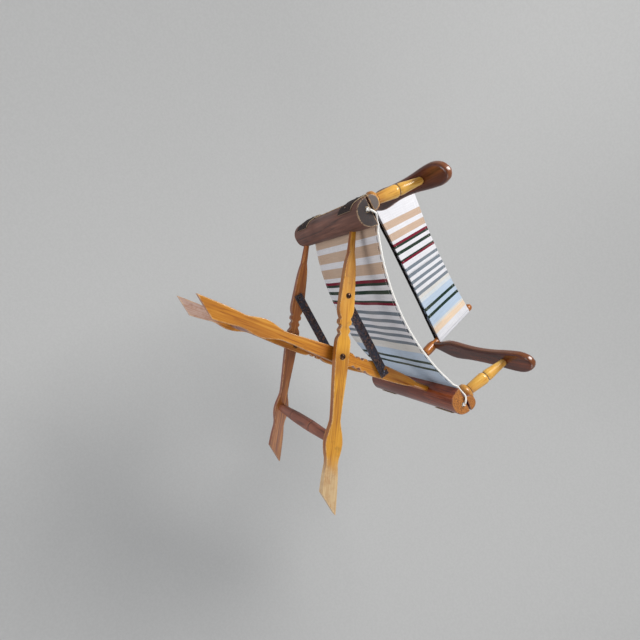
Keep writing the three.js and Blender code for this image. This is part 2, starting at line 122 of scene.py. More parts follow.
class Tree:
    """A material's node tree, with short calls to add nodes to it."""

    def __init__(self, name):
        self.material = bpy.data.materials.new(name)
        self.material.use_nodes = True
        self.tree = self.material.node_tree
        self.tree.nodes.clear()
        self.shader = self.add("BsdfPrincipled")
        output = self.add("OutputMaterial")
        self.tree.links.new(self.shader.outputs[0], output.inputs["Surface"])

    def add(self, kind, inputs=None, **settings):
        return add_node(self.tree, "ShaderNode" + kind, inputs, **settings)

    def math(self, operation, a, b=0.0, clamp=False):
        return self.add("Math", {0: a, 1: b}, operation=operation, use_clamp=clamp).outputs[0]

    def mix(self, share, a, b, blend="MIX"):
        made = self.add("Mix", {0: share, 6: a, 7: b}, data_type="RGBA", blend_type=blend)
        return made.outputs[2]

    def span(self, value, low, high, to_low=0.0, to_high=1.0):
        """value from low..high to to_low..to_high, held at the ends."""
        inputs = {0: value, 1: low, 2: high, 3: to_low, 4: to_high}
        return self.add("MapRange", inputs, interpolation_type="SMOOTHSTEP").outputs[0]

    def ramp(self, value, *stops):
        made = self.add("ValToRGB", {0: value})
        made.color_ramp.interpolation = "EASE"
        elements = made.color_ramp.elements
        while len(elements) < len(stops):
            elements.new(0.5)
        for element, (position, colour) in zip(elements, stops):
            element.position = position
            element.color = colour
        return made.outputs[0]

    def noise(self, vector, scale, detail=2.0, rough=0.5, distort=0.0, stretch=(1, 1, 1)):
        """Noise over a vector in metres; scale is in features a metre."""
        moved = self.add("Mapping", {0: vector, "Scale": stretch}).outputs[0]
        inputs = {"Vector": moved, "Scale": scale, "Detail": detail, "Roughness": rough}
        return self.add("TexNoise", {**inputs, "Distortion": distort}).outputs["Fac"]

    def edge(self, radius, low=0.001, high=0.04):
        """1 on sharp edges and 0 away from them; low and high are how far the rounded normal has turned."""
        round_normal = self.add("Bevel", {"Radius": radius}, samples=6).outputs[0]
        true_normal = self.add("NewGeometry").outputs["Normal"]
        dot = self.add("VectorMath", {0: round_normal, 1: true_normal}, operation="DOT_PRODUCT")
        return self.span(dot.outputs["Value"], 1 - low, 1 - high)

    def bump(self, height, distance, strength=1.0, normal=None):
        inputs = {"Height": height, "Distance": distance, "Strength": strength}
        if normal is not None:
            inputs["Normal"] = normal
        return self.add("Bump", inputs).outputs[0]

    def finish(self, **inputs):
        feed(self.tree, self.shader, {key.replace("_", " "): value for key, value in inputs.items()})
        return self.material


# ---------------------------------------------------------------- wood, iron, leather
DIRT = (50, 30, 20)
# the painted shade in the turned grooves
GROOVE_SHADE = (52, 26, 14)


def paint_light_by_facing(t, colour, mixed, middle, axis, painted_side_tone):
    """Painted light and shade by which way a face looks: faces that don't look along the object's axis are
    toned towards the side colour.
    """
    facing = t.add("SeparateXYZ", {0: t.add("TexCoord").outputs["Normal"]}).outputs[axis]
    off_axis = t.span(t.math("ABSOLUTE", facing), 0.85, 0.45)
    # painted light and shade, by which way each face looks
    painted_shading = t.mix(t.span(mixed, 0.35, 0.7, 0.0, 0.45), srgb(*painted_side_tone), middle)
    return t.mix(off_axis, colour, painted_shading)


def paint_pivot_shade(t, colour, along, streaks, dark, place, half):
    """Painted shade round a place along the piece, where the crossed legs meet at the pivot, broken up by
    the grain streaks.
    """
    near = t.span(t.math("ABSOLUTE", t.math("SUBTRACT", along, place)), half, half * 0.2)
    # painted shade where the crossed legs meet
    shade_share = t.math("MULTIPLY", near, t.span(streaks, 0.35, 0.6, 0.15, 0.75))
    return t.mix(shade_share, colour, dark)


def bare_foot(t, colour, grain, along, rays, dark, length, bare_colour):
    """Takes the varnish off the foot, up to a ragged line at about length."""
    cut = t.math("ADD", along, t.math("MULTIPLY", t.noise(grain, 60), 0.03))
    worn_foot = t.span(cut, length + 0.05, length, 0.0, 0.92)
    raw_wood = t.mix(t.span(rays, 0.4, 0.65, 0.0, 0.4), srgb(*bare_colour), dark)
    raw_wood = t.mix(t.span(t.noise(grain, 55, 4, 0.7), 0.45, 0.7, 0.0, 0.35), raw_wood, dark)
    return t.mix(worn_foot, colour, raw_wood)


def paint_groove_shade(t, colour, along, rings):
    """Painted shade in the grooves round a turned piece, each (distance from the foot, half width)."""
    for place, half in rings:
        off = t.math("ABSOLUTE", t.math("SUBTRACT", along, place))
        colour = t.mix(t.span(off, half, half * 0.35, 0.0, 0.85), colour, srgb(*GROOVE_SHADE))
    return colour


def wood(name, tones, gloss=0.4, coat=0.3, side=None, wear=(200, 160, 115), wear_much=0.5, rings=(),
         bare=None, end=None, pivot_shade_at=None):
    """Varnished wood with its grain along the attribute "grain".

    tones: dark, middle and light. side: (axis, colour) of painted light and shade on the faces that don't
    look along that axis.
    rings: (distance from the foot, half width) of turned grooves, painted with shade. bare: (length of foot,
    colour).
    end: colour of the sawn end faces. pivot_shade_at: (distance from the foot, half width) of painted shade
    round the pivot.
    """
    t = Tree(name)
    grain = t.add("Attribute", attribute_name="grain").outputs["Vector"]
    along = t.add("SeparateXYZ", {0: grain}).outputs[0]
    streaks = t.noise(grain, 90, 4, 0.62, 0.9, (0.055, 1, 1))
    rays = t.noise(grain, 420, 3, 0.55, 0.0, (0.03, 1, 1))
    cloudy = t.noise(grain, 16, 2, 0.5, 0.3, (0.4, 1, 1))
    fibres = t.noise(grain, 1500, 2, 0.6, 0.0, (0.02, 1, 1))
    mixed = t.math("ADD", t.math("MULTIPLY", streaks, 0.62), t.math("MULTIPLY", rays, 0.38))
    dark, middle, light = [srgb(*tone) for tone in tones]
    colour = t.ramp(mixed, (0.33, dark), (0.5, middle), (0.64, light))
    colour = t.mix(t.span(cloudy, 0.38, 0.68, 0.0, 0.4), colour, dark)
    if side:
        colour = paint_light_by_facing(t, colour, mixed, middle, *side)
    if pivot_shade_at:
        colour = paint_pivot_shade(t, colour, along, streaks, dark, *pivot_shade_at)
    if bare:
        colour = bare_foot(t, colour, grain, along, rays, dark, *bare)
    colour = paint_groove_shade(t, colour, along, rings)
    if end:
        looks_along = t.add("Attribute", attribute_name="end_face").outputs["Fac"]
        sawn = t.mix(t.span(t.noise(grain, 700, 3), 0.35, 0.7), srgb(*end), dark)
        colour = t.mix(looks_along, colour, sawn)
    chipped = t.math("MULTIPLY", t.edge(0.0034), t.span(t.noise(grain, 90, 3, 0.6), 0.36, 0.56))
    worn = t.math("MULTIPLY", chipped, wear_much)
    colour = t.mix(worn, colour, srgb(*wear))
    dirt = t.span(t.noise(grain, 38, 4, 0.7), 0.58, 0.75, 0.0, 0.25)
    colour = t.mix(dirt, colour, srgb(*DIRT))
    uneven = t.math("ADD", cloudy, t.math("MULTIPLY", rays, 0.4))
    rough = t.span(uneven, 0.35, 0.95, gloss * 0.75, gloss * 1.3)
    rough = t.math("ADD", rough, t.math("MULTIPLY", worn, 0.3), clamp=True)
    relief = t.math("ADD", t.math("MULTIPLY", fibres, 0.4), rays)
    rounded = t.add("Bevel", {"Radius": 0.0012}, samples=4).outputs[0]
    return t.finish(Base_Color=colour, Roughness=rough, Normal=t.bump(relief, 0.00025, 0.5, rounded),
                    Coat_Weight=coat, Coat_Roughness=0.12, Specular_IOR_Level=0.45)


def metal(name, base, rust, shine=0.45, metallic=0.85, rust_much=0.5, fleck=420):
    """Old iron or bronzed steel with mottled rust and bright rubbed edges; fleck is in flecks a metre."""
    t = Tree(name)
    place = t.add("Attribute", attribute_name="grain").outputs["Vector"]
    mottle = t.noise(place, fleck, 5, 0.72, 0.4)
    patches = t.noise(place, fleck * 0.28, 3, 0.6)
    rusty = t.span(t.math("ADD", mottle, t.math("MULTIPLY", patches, 0.5)), 0.72, 0.9, 0.0, rust_much)
    bare = t.mix(t.span(patches, 0.35, 0.65), srgb(*base), srgb(*[v * 0.55 for v in base]))
    colour = t.mix(rusty, bare, srgb(*rust))
    bright = t.math("MULTIPLY", t.edge(0.0012), t.span(mottle, 0.4, 0.62, 0.15, 0.75))
    colour = t.mix(bright, colour, srgb(170, 160, 150))
    rough = t.span(mottle, 0.3, 0.7, shine * 0.7, min(1.0, shine * 1.5))
    normal = t.bump(mottle, 0.0002, 0.7)
    return t.finish(Base_Color=colour, Metallic=metallic, Roughness=rough, Normal=normal)


def leather():
    """Stiff old strap leather: dark pebbled face, pale raw edge."""
    t = Tree("strap_leather")
    place = t.add("UVMap", uv_map="flat").outputs[0]
    raw = t.add("Attribute", attribute_name="raw_edge").outputs["Fac"]
    cells = t.add("TexVoronoi", {"Vector": place, "Scale": 900.0}).outputs["Distance"]
    creases = t.noise(place, 160, 5, 0.7, 0.8)
    cloudy = t.noise(place, 45, 3, 0.6)
    colour = t.mix(t.span(creases, 0.35, 0.65), srgb(34, 27, 26), srgb(60, 48, 46))
    colour = t.mix(t.span(cloudy, 0.5, 0.75, 0.0, 0.4), colour, srgb(84, 68, 60))
    fuzzy = t.mix(t.span(creases, 0.3, 0.7), srgb(196, 178, 152), srgb(140, 112, 84))
    colour = t.mix(t.math("MULTIPLY", raw, 0.85), colour, fuzzy)
    rough = t.span(creases, 0.3, 0.7, 0.7, 0.92)
    relief = t.math("ADD", t.math("MULTIPLY", cells, 0.5), creases)
    return t.finish(Base_Color=colour, Roughness=rough, Normal=t.bump(relief, 0.0004, 0.6),
                    Specular_IOR_Level=0.2)


# ---------------------------------------------------------------- canvas and cotton
THREADS = 1150.0  # threads a metre, both ways
PLIES = 3  # strands twisted together in a cord


def canvas(name, yellowed=0.0):
    """Striped deck-chair canvas: a plain weave over the colours in the attribute "stripe"."""
    t = Tree(name)
    flat = t.add("UVMap", uv_map="flat").outputs[0]
    stripe = t.add("Attribute", attribute_name="stripe").outputs["Color"]
    axes = t.add("SeparateXYZ", {0: flat})
    warp = t.math("SINE", t.math("MULTIPLY", axes.outputs[0], THREADS * math.pi))
    weft = t.math("SINE", t.math("MULTIPLY", axes.outputs[1], THREADS * math.pi))
    over = t.math("MULTIPLY", warp, weft)
    ribs = t.math("MAXIMUM", t.math("ABSOLUTE", warp), t.math("ABSOLUTE", weft))
    slubs = t.noise(flat, 620, 3, 0.6, 0.0, (1, 0.03, 1))
    slubs_across = t.noise(flat, 620, 3, 0.6, 0.0, (0.03, 1, 1))
    thread = t.math("ADD", t.math("MULTIPLY", slubs, 0.6), t.math("MULTIPLY", slubs_across, 0.4))
    faded = t.noise(flat, 9, 3, 0.55)
    soil = t.noise(flat, 26, 4, 0.7, 0.5)
    colour = t.mix(t.span(thread, 0.3, 0.7, 0.22, 0.0), stripe, srgb(60, 52, 50))
    lit = t.mix(1.0, colour, (1.12, 1.12, 1.12, 1.0), "MULTIPLY")
    colour = t.mix(t.span(over, -1.0, 1.0), colour, lit)
    colour = t.mix(t.span(faded, 0.4, 0.7, 0.0, 0.05 + yellowed), colour, srgb(200, 190, 176))
    colour = t.mix(t.span(soil, 0.55, 0.8, 0.0, 0.10), colour, srgb(150, 132, 112))
    height = t.math("ADD", ribs, t.math("MULTIPLY", thread, 0.8))
    rough = t.span(thread, 0.3, 0.7, 0.82, 0.96)
    return t.finish(Base_Color=colour, Roughness=rough, Normal=t.bump(height, 0.00022, 0.7),
                    Sheen_Weight=0.04, Sheen_Roughness=0.4, Specular_IOR_Level=0.15)


def cotton(name, clean, grey_and_valley_shade, twist):
    """Twisted cotton, for cord and sewing thread; twist is in turns a metre. The grey colour is painted
    shade in the valleys between the plies, and random greying in the fuzz.
    """
    t = Tree(name)
    place = t.add("UVMap", uv_map="flat").outputs[0]
    axes = t.add("SeparateXYZ", {0: place})
    ahead = t.math("MULTIPLY", axes.outputs[1], twist)
    turn = t.math("ADD", ahead, t.math("MULTIPLY", axes.outputs[0], float(PLIES)))
    ply = t.math("SINE", t.math("MULTIPLY", turn, 2 * math.pi))
    fuzz = t.noise(place, 300, 4, 0.7, 0.3)
    # painted shade: the grey is laid in the valleys between the plies
    colour = t.mix(t.span(ply, -1.0, 0.2, 0.5, 0.0), srgb(*clean), srgb(*grey_and_valley_shade))
    colour = t.mix(t.span(fuzz, 0.5, 0.75, 0.0, 0.4), colour, srgb(*grey_and_valley_shade))
    height = t.math("ADD", ply, fuzz)
    rough = t.span(fuzz, 0.3, 0.7, 0.85, 0.97)
    return t.finish(Base_Color=colour, Roughness=rough, Normal=t.bump(height, 0.0003, 0.5),
                    Sheen_Weight=0.2)


def plaster():
    """The pale painted studio surface."""
    t = Tree("studio_paint")
    place = t.add("TexCoord").outputs["Object"]
    fine = t.noise(place, 120, 3, 0.6)
    colour = t.mix(t.span(fine, 0.35, 0.65), srgb(196, 196, 195), srgb(200, 200, 199))
    return t.finish(Base_Color=colour, Roughness=t.span(fine, 0.3, 0.7, 0.85, 0.95),
                    Normal=t.bump(fine, 0.0004, 0.3))


# ---------------------------------------------------------------- finish of the carried-over CAD nodes
SHARP_DEG = 50.0  # an edge that bends more than this stays sharp
END_FACING = 0.97  # a face that looks along the grain more than this is sawn end grain
RISING = 0.25  # a direction that climbs more than this for each unit is turned to point up
NODE_SHIFT, FAMILY_SHIFT = 0.31, 0.13  # metres, so that no two nodes show the same grain


def shading_group():
    """A modifier that welds the CAD surface, shades it smooth and stores where the grain runs."""
    group = bpy.data.node_groups.new("smooth_with_grain", "GeometryNodeTree")
    face = group.interface
    face.new_socket("Geometry", in_out="INPUT", socket_type="NodeSocketGeometry")
    for label in ("Origin", "Along", "Across", "Through"):
        face.new_socket(label, in_out="INPUT", socket_type="NodeSocketVector")
    face.new_socket("Geometry", in_out="OUTPUT", socket_type="NodeSocketGeometry")

    def add(kind, inputs=None, **settings):
        return add_node(group, kind, inputs, **settings).outputs

    def dot(a, b):
        return add("ShaderNodeVectorMath", {0: a, 1: b}, operation="DOT_PRODUCT")["Value"]

    source = add("NodeGroupInput")
    weld = add("GeometryNodeMergeByDistance", {"Geometry": source["Geometry"], "Distance": 2e-5})
    smooth = add("GeometryNodeSetShadeSmooth", {"Geometry": weld[0]})
    clear = add("GeometryNodeSetShadeSmooth", {"Geometry": smooth[0]}, domain="EDGE")
    angle = add("GeometryNodeInputMeshEdgeAngle")["Unsigned Angle"]
    bent = add("FunctionNodeCompare", {0: angle, 1: math.radians(SHARP_DEG)})
    creased = {"Geometry": clear[0], "Selection": bent[0], "Shade Smooth": False}
    sharp = add("GeometryNodeSetShadeSmooth", creased, domain="EDGE")
    position = add("GeometryNodeInputPosition")[0]
    away = add("ShaderNodeVectorMath", {0: position, 1: source["Origin"]}, operation="SUBTRACT")[0]
    parts = [dot(away, source[label]) for label in ("Along", "Across", "Through")]
    grain = add("ShaderNodeCombineXYZ", dict(enumerate(parts)))
    stored = {"Geometry": sharp[0], "Name": "grain", "Value": grain[0]}
    store = add("GeometryNodeStoreNamedAttribute", stored, data_type="FLOAT_VECTOR")
    facing = dot(add("GeometryNodeInputNormal")[0], source["Along"])
    size = add("ShaderNodeMath", {0: facing}, operation="ABSOLUTE")
    is_end = add("FunctionNodeCompare", {0: size[0], 1: END_FACING})
    stored = {"Geometry": store[0], "Name": "end_face", "Value": is_end[0]}
    ends = add("GeometryNodeStoreNamedAttribute", stored, data_type="FLOAT", domain="FACE")
    add("NodeGroupOutput", {0: ends[0]})
    return group


def axes_of(node):
    """A CAD node's foot and its long, wide and thin directions, turned to point up, or to +X or +Y."""
    points = np.array([v.co for v in node.data.vertices])
    middle = (points.min(0) + points.max(0)) / 2
    spread = np.linalg.svd(points - points.mean(0), full_matrices=False)[2]
    turned = []
    for row in spread:
        leading = row[2] if abs(row[2]) > RISING else row[np.argmax(np.abs(row))]
        turned.append(row * np.sign(leading))
    lowest = ((points - middle) @ turned[0]).min()
    return middle + lowest * turned[0], turned


SMOOTHING = shading_group()


def carry(name, material, shift=0.0):
    """Gives a CAD node its material, with smooth shading and grain coordinates from a modifier."""
    node = NODES[name]
    origin, (along, across, through) = axes_of(node)
    modifier = node.modifiers.new("surface", "NODES")
    modifier.node_group = SMOOTHING
    sockets = [s.identifier for s in SMOOTHING.interface.items_tree if s.in_out == "INPUT"][1:]
    offset = origin + shift * (np.array(across) + np.array(through))
    for key, value in zip(sockets, (offset, along, across, through)):
        modifier[key] = [float(v) for v in value]
    even = node.modifiers.new("normals", "WEIGHTED_NORMAL")
    even.keep_sharp = True
    node.data.materials.clear()
    node.data.materials.append(material)


# ---------------------------------------------------------------- mesh building
def new_mesh(name, points, faces, material, uv=None, attributes=None):
    """A smooth mesh object. uv and attributes hold one value for each face corner, in the faces' order."""
    mesh = bpy.data.meshes.new(name)
    mesh.from_pydata([tuple(map(float, p)) for p in points], [], [tuple(map(int, f)) for f in faces])
    mesh.update()
    mesh.polygons.foreach_set("use_smooth", [True] * len(mesh.polygons))
    if uv is not None:
        mesh.uv_layers.new(name="flat").data.foreach_set("uv", np.asarray(uv, np.float32).ravel())
    for key, (kind, values) in (attributes or {}).items():
        field = "color" if "COLOR" in kind else "value"
        made = mesh.attributes.new(key, kind, "CORNER")
        made.data.foreach_set(field, np.asarray(values, np.float32).ravel())
    mesh.materials.append(material)
    made = bpy.data.objects.new(name, mesh)
    bpy.context.scene.collection.objects.link(made)
    return made


def normals_of(grid):
    """Unit normals of a grid of points, [columns, rows, 3]."""
    du = np.gradient(grid, axis=0)
    dv = np.gradient(grid, axis=1)
    normal = np.cross(du, dv)
    return normal / np.maximum(np.linalg.norm(normal, axis=2, keepdims=True), 1e-12)


class Cloth:
    """Collects thin closed shells, each from a grid of middle-surface points."""

    def __init__(self):
        self.points, self.faces, self.uv, self.extra = [], [], [], []
        self.count = 0

    def shell(self, grid, flat_u, flat_v, thick, value):
        """grid is [columns, rows, 3]; thick is [columns, rows]; value(column, row, is_rim) is stored."""
        columns, rows = grid.shape[:2]
        normal = normals_of(grid)
        half = thick[:, :, None] / 2
        self.points += [*(grid + normal * half).reshape(-1, 3), *(grid - normal * half).reshape(-1, 3)]
        first, below = self.count, columns * rows

        def at(i, j, under):
            return first + under * below + i * rows + j

        def face(corners, column, row, rim):
            self.faces.append([at(*c) for c in corners])
            self.uv += [(flat_u[i], flat_v[j]) for i, j, _ in corners]
            self.extra += [value(column, row, rim)] * 4

        for i in range(columns - 1):
            for j in range(rows - 1):
                ring = [(i, j), (i + 1, j), (i + 1, j + 1), (i, j + 1)]
                face([(a, b, 0) for a, b in ring], i, j, False)
                face([(a, b, 1) for a, b in reversed(ring)], i, j, False)
            for j, flip in ((0, 1), (rows - 1, 0)):
                a, b = (i, i + 1) if flip else (i + 1, i)
                face([(b, j, 0), (a, j, 0), (a, j, 1), (b, j, 1)], i, min(j, rows - 2), True)
        for j in range(rows - 1):
            for i, flip in ((0, 0), (columns - 1, 1)):
                a, b = (j, j + 1) if flip else (j + 1, j)
                face([(i, b, 0), (i, a, 0), (i, a, 1), (i, b, 1)], min(i, columns - 2), j, True)
        self.count += 2 * below

    def build(self, name, material, key, kind):
        return new_mesh(name, self.points, self.faces, material, self.uv, {key: (kind, self.extra)})


def tube(path, radius, sides, closed=False, twist=0.0, lobes=0.0):
    """Points, faces and corner UVs of a tube along a path, with plies that swell it by lobes."""
    path = np.asarray(path, float)
    step = np.roll(path, -1, 0) - np.roll(path, 1, 0) if closed else np.gradient(path, axis=0)
    tangent = step / np.linalg.norm(step, axis=1, keepdims=True)
    normal = np.cross(tangent[0], (0.31, 0.17, 0.93))
    gone = np.concatenate([[0], np.cumsum(np.linalg.norm(np.diff(path, axis=0), axis=1))])
    angles = np.arange(sides) * 2 * math.pi / sides
    points = []
    for centre, direction, far in zip(path, tangent, gone):
        normal = normal - direction * (normal @ direction)
        normal /= np.linalg.norm(normal)
        other = np.cross(direction, normal)
        swell = radius * (1 + lobes * np.cos(PLIES * (angles - 2 * math.pi * twist * far)))
        for r, a in zip(swell, angles):
            points.append(centre + r * (math.cos(a) * normal + math.sin(a) * other))
    faces, uv = [], []
    count = len(path)
    for i in range(count if closed else count - 1):
        after = (i + 1) % count
        for k in range(sides):
            right = (k + 1) % sides
            faces.append([i * sides + k, i * sides + right, after * sides + right, after * sides + k])
            far = gone[i] + np.linalg.norm(path[after] - path[i])
            near_u, far_u = k / sides, (k + 1) / sides
            uv += [(near_u, gone[i]), (far_u, gone[i]), (far_u, far), (near_u, far)]
    if not closed:
        for ring, reverse in ((0, True), (count - 1, False)):
            cap = [ring * sides + k for k in range(sides)]
            faces.append(cap[::-1] if reverse else cap)
            uv += [(0.5, gone[ring])] * sides
    return points, faces, uv


def merge_tubes(name, tubes, material):
    points, faces, uv = [], [], []
    for some_points, some_faces, some_uv in tubes:
        faces += [[k + len(points) for k in f] for f in some_faces]
        points += some_points
        uv += some_uv
    return new_mesh(name, points, faces, material, uv)


def smooth_path(points, step):
    """A Catmull-Rom curve through the points, sampled about every step."""
    points = [np.array(p, float) for p in points]
    padded = [2 * points[0] - points[1], *points, 2 * points[-1] - points[-2]]
    out = []
    for a, b, c, d in zip(padded, padded[1:], padded[2:], padded[3:]):
        pieces = max(1, round(np.linalg.norm(c - b) / step))
        for t in np.arange(pieces) / pieces:
            out.append(0.5 * (2 * b + (c - a) * t + (2 * a - 5 * b + 4 * c - d) * t**2
                              + (3 * b - a - 3 * c + d) * t**3))
    return np.array([*out, points[-1]])


# ---------------------------------------------------------------- stripes
WHITE, BEIGE, CREAM, PEACH = (214, 214, 219), (188, 163, 143), (206, 204, 200), (222, 198, 172)
# the near-black is painted shade for inside the band's tube
BURGUNDY, GREEN, TUBE_SHADE = (112, 12, 40), (24, 48, 38), (20, 18, 20)
GREY_BLUE, PALE_BLUE, LIGHT_BLUE = (112, 122, 132), (200, 206, 210), (176, 192, 210)
MIDDLE_STRIPES = [
    (BURGUNDY, 8), (GREEN, 7), (WHITE, 12), (GREEN, 10), (WHITE, 17), (GREEN, 5), (BURGUNDY, 7), (WHITE, 17),
    *[(GREY_BLUE, 10), (WHITE, 12)] * 2, (GREY_BLUE, 10), (WHITE, 10), (GREY_BLUE, 10), (WHITE, 12),
    (GREY_BLUE, 10),
]  # (colour, width in mm) from the left
BLUE_STRIPES = [(GREEN, 10), (LIGHT_BLUE, 15), (GREEN, 10), (LIGHT_BLUE, 27)]
SEAT_STRIPES = [
    (WHITE, 16), (BEIGE, 27), (WHITE, 17), (BEIGE, 27), (WHITE, 12), *MIDDLE_STRIPES, (CREAM, 25),
    (LIGHT_BLUE, 29), *BLUE_STRIPES,
]
BAND_STRIPES = [
    (WHITE, 15), (BEIGE, 22), (WHITE, 15), (BEIGE, 22), (WHITE, 10), *MIDDLE_STRIPES, (CREAM, 11),
    (PALE_BLUE, 11), (LIGHT_BLUE, 22), *BLUE_STRIPES, (CREAM, 8), (PEACH, 20), (WHITE, 15),
]
FIRST_BURGUNDY = -0.105  # where the middle stripes start, from the cloth's middle
FINE = 0.006  # the widest column of cloth mesh


def stripe_columns(first, stripes, low, high):
    """Column edges from low to high, with one on every stripe edge, and each column's colour.

    first is the colour to the left of the stripes, and the last stripe runs on to the end.
    """
    before = [width for _, width in stripes[:stripes.index(MIDDLE_STRIPES[0])]]
    edges = [FIRST_BURGUNDY - sum(before) * MM]
    for _, width in stripes[:-1]:
        edges.append(edges[-1] + width * MM)
    colours = [first, *[colour for colour, _ in stripes]]
    cuts = sorted({low, high, *[e for e in edges if low < e < high]})
    fine = [low]
    for a, b in zip(cuts, cuts[1:]):
        count = max(1, math.ceil((b - a) / FINE))
        fine += [a + (b - a) * (k + 1) / count for k in range(count)]
    middles = [(a + b) / 2 for a, b in zip(fine, fine[1:])]
    return np.array(fine), [srgb(*colours[int(np.searchsorted(edges, m))]) for m in middles]


# ---------------------------------------------------------------- the sling seat
CLOTH_THICK = 1.5 * MM
HEM_THICK = 2.6 * MM
HEM_WIDE = 11 * MM
SAG = FLAT_Z + 0.6 * MM - SLING[LOW].z
SEAT_LEVEL = FLAT_Z + 1.5 * MM
SEAT_END = SLING[HIGH].x - 1 * MM
SEAM_ROW = 9 * MM  # of the hem stitches, from the cloth's edge
PRESSED = 0.75  # the share of its thickness that the cloth keeps between the rails
REAR_TAUT = 0.13  # the share of the sag that is lost towards the rear
PUCKER = {"deep": 0.9 * MM, "apart": 43 * MM, "reach": 50 * MM}  # folds beside the rails
SWELL = {"deep": 0.8 * MM, "long": 130 * MM, "wide": 310 * MM}  # broad unevenness all over


def seat_place(x, y):
    """The middle of the cloth at x and y: it hangs between the rails and puckers a little beside them."""
    share = (y - SLING[LOW].y) / (SLING[HIGH].y - SLING[LOW].y)
    depth = SAG * (1.0 - REAR_TAUT * share)
    inside = np.clip(1 - (x / INNER_EDGE) ** 2, 0, 1)
    near_rail = np.exp(-((INNER_EDGE - np.abs(x)) / PUCKER["reach"]) ** 2) * (np.abs(x) < INNER_EDGE)
    folds = np.sin(2 * math.pi * y / PUCKER["apart"] + 2.2 * np.sign(x))
    pucker = PUCKER["deep"] * near_rail * folds * inside**0.5
    swell = SWELL["deep"] * np.sin(2 * math.pi * (y / SWELL["long"] + x / SWELL["wide"])) * inside
    return SEAT_LEVEL - depth * inside + pucker + swell


def arc_to_x():
    """x for the flat distance along the cloth from its middle, at half its depth."""
    x = np.linspace(-SEAT_END, SEAT_END, 801)
    z = seat_place(x, np.full_like(x, (SLING[LOW].y + SLING[HIGH].y) / 2))
    far = np.concatenate([[0], np.cumsum(np.hypot(np.diff(x), np.diff(z)))])
    return far - far[-1] / 2, x


SEAT_FLAT, SEAT_X = arc_to_x()
HEM_AT = np.array([0, 0.8 * MM, 2.2 * MM, 5 * MM, 8 * MM, SEAM_ROW, 10 * MM, HEM_WIDE])  # from the edge
HEM_SWELL = [0.9 * MM, 2.2 * MM, HEM_THICK, HEM_THICK, 2.2 * MM, 1.6 * MM, 2.2 * MM, CLOTH_THICK]


def hem_rows(low, high, gap=0.012):
    """Row positions from low to high, closer together across both hems."""
    inset = HEM_WIDE + 2 * MM
    middle = np.linspace(low + inset, high - inset, round((high - low) / gap))
    return np.concatenate([low + HEM_AT, middle, high - HEM_AT[::-1]])


def hem_thickness(rows):
    """Thick across a rolled hem, pinched at its stitch line, thin between the hems."""
    off = np.minimum(rows - rows[0], rows[-1] - rows)
    return np.interp(off, HEM_AT, HEM_SWELL)


def build_seat():
    """The sling's cloth, and its flat width and depth."""
    flat_u, colours = stripe_columns(BEIGE, SEAT_STRIPES, SEAT_FLAT[0], SEAT_FLAT[-1])
    x = np.interp(flat_u, SEAT_FLAT, SEAT_X)
    rows = hem_rows(SLING[LOW].y, SLING[HIGH].y)
    xx, yy = np.meshgrid(x, rows, indexing="ij")
    grid = np.stack([xx, yy, seat_place(xx, yy)], axis=2)
    cloth = Cloth()
    pressed = np.where(np.abs(xx) > INNER_EDGE, PRESSED, 1.0)
    thick = np.broadcast_to(hem_thickness(rows), xx.shape) * pressed
    cloth.shell(grid, flat_u, rows, thick, lambda column, row, rim: colours[column])
    seat = cloth.build("seat_cloth", canvas("seat_canvas", 0.06), "stripe", "FLOAT_COLOR")
    return seat, (SEAT_FLAT[-1] - SEAT_FLAT[0], rows[-1] - rows[0])


STITCH, STITCH_STEP = 2.6 * MM, 4.2 * MM
LONG_STITCH, LONG_STEP = 12 * MM, 20 * MM  # of the dark thread that holds the cord to the hem
LONG_ROW = 3.4 * MM  # of those stitches, from the cloth's edge
THREAD_R = 0.32 * MM
THREAD_OFF = 0.8 * MM  # a seam's face from the cloth's middle surface
SEAM_END = 3 * MM  # from the end of a row of stitches to the cloth's edge or the rail


def stitch_row(place, low, high, long=STITCH, step=STITCH_STEP, radius=THREAD_R):
    """Tubes of a row of stitches; place(s) gives a point on the cloth's face and its normal."""
    made = []
    for k in range(int((high - low) / step)):
        line = []
        for share in (0, 0.2, 0.5, 0.8, 1):
            point, normal = place(low + k * step + share * long)
            lift = radius * (1.2 * math.sin(share * math.pi) - 0.4)
            line.append(np.array(point) + np.array(normal) * lift)
        made.append(tube(line, radius, 5))
    return made


def on_seat(row_y, face, off):
    """A function of x: a point off the seat's upper (1) or lower (-1) face, and the normal there."""
    def place(x):
        z = seat_place(np.array([x - MM, x, x + MM]), row_y)
        normal = Vector((-(z[2] - z[0]), 0, 2 * MM)).normalized() * face
        return Vector((x, row_y, z[1])) + normal * off, normal
    return place


def seat_stitches(thread, dark_thread):
    """Both hems' seams, and the long dark stitches beside the cord, on both faces."""
    reach = INNER_EDGE - SEAM_END
    rows, long_rows = [], []
    for y, inward in ((SLING[LOW].y, 1), (SLING[HIGH].y, -1)):
        for face in (1, -1):
            rows += stitch_row(on_seat(y + inward * SEAM_ROW, face, THREAD_OFF), -reach, reach)
    for face in (1, -1):
        place = on_seat(SLING[LOW].y + LONG_ROW, face, HEM_THICK / 2)
        long_rows += stitch_row(place, -reach, reach, LONG_STITCH, LONG_STEP, 2 * THREAD_R)
    stitches = merge_tubes("seat_stitches", rows, thread)
    return stitches, merge_tubes("cord_stitches", long_rows, dark_thread)


# Out of the hole in the rail's end, over the flat, and down with the hem: the right half, in millimetres,
# with y from the middle of the crossed legs.
CORD_END = [(259, -233, 402), (252, -233, 408), (244, -230, 413.4), (230, -221, 413.4),
            (218, -219.5, 411.6), (209, -219, 405.2)]
HEM_REACH = 0.196  # from the middle to the cord's last point along the hem
CORD_R = 2.6 * MM
CORD_STEP = 1.6 * MM
CORD_TWIST, THREAD_TWIST = 55.0, 900.0  # turns a metre
CORD_SLIM = 0.84  # the rope's mean radius as a share of the CAD cord's, to leave room for its plies
CORD_LOBES = 0.09  # how much each ply swells it
KNOT_R, KNOT_CORD_R = 3.6 * MM, 1.55 * MM


